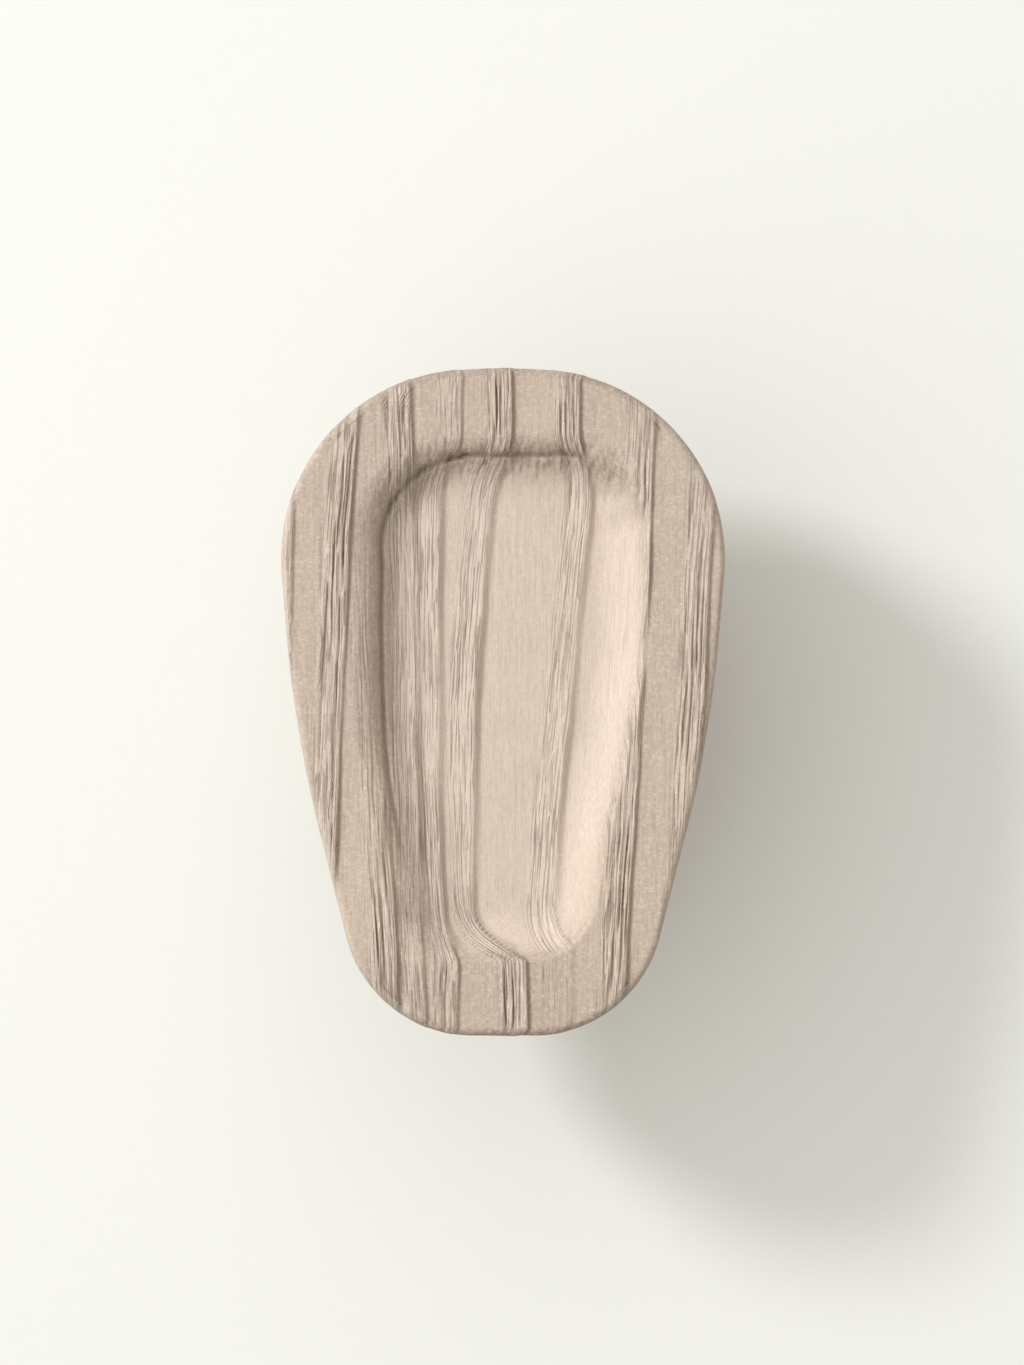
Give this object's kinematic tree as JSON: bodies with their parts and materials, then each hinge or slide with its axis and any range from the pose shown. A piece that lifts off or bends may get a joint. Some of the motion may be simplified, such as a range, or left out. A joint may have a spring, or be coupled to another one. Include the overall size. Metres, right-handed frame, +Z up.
{
  "type": "cabinet door knob",
  "caption": "Tapered ash knob with a dished face on a turned neck, drawn against the door by a machine screw and washer from behind.",
  "frame": {"origin": "on the screw's axis, in the plane of the neck's foot that rests on the door's face", "axes": "+Z up along the head's long side, wide end up; -Y out of the dished face towards the user; +Y into the door; +X to the right as the face is looked at"},
  "size_m": [0.0332, 0.0479, 0.05],
  "materials": {
    "head_ash": "bleached grey-beige ash, brushed so that the open pores and growth rings stand in relief, matt",
    "neck_ash": "turned ash, same bleached grey-beige tone, fine turning marks, matt",
    "insert_brass": "plain turned brass, slightly dulled",
    "screw_steel": "bright zinc plated",
    "washer_steel": "bright zinc plated, stamped"
  },
  "bodies": {
    "knob": {"head": "head_ash", "neck": "neck_ash", "threaded_insert": "insert_brass"},
    "washer": {"washer": "washer_steel"},
    "screw": {"machine_screw": "screw_steel"}
  },
  "joints": [
    {"name": "washer_slide", "type": "slide", "parent": "knob", "child": "washer", "axis": [0, 1, 0], "range_m": [-0.0056, 0.0056]},
    {"name": "screw_turn", "type": "hinge", "parent": "washer", "child": "screw", "pos_m": [0, 0, 0], "axis": [0, 1, 0], "range_deg": [-2880.1, 2880.1]}
  ],
  "couplings": [
    {"joint": "screw_turn", "follows": "washer_slide", "rad_per_m": 8976}
  ]
}
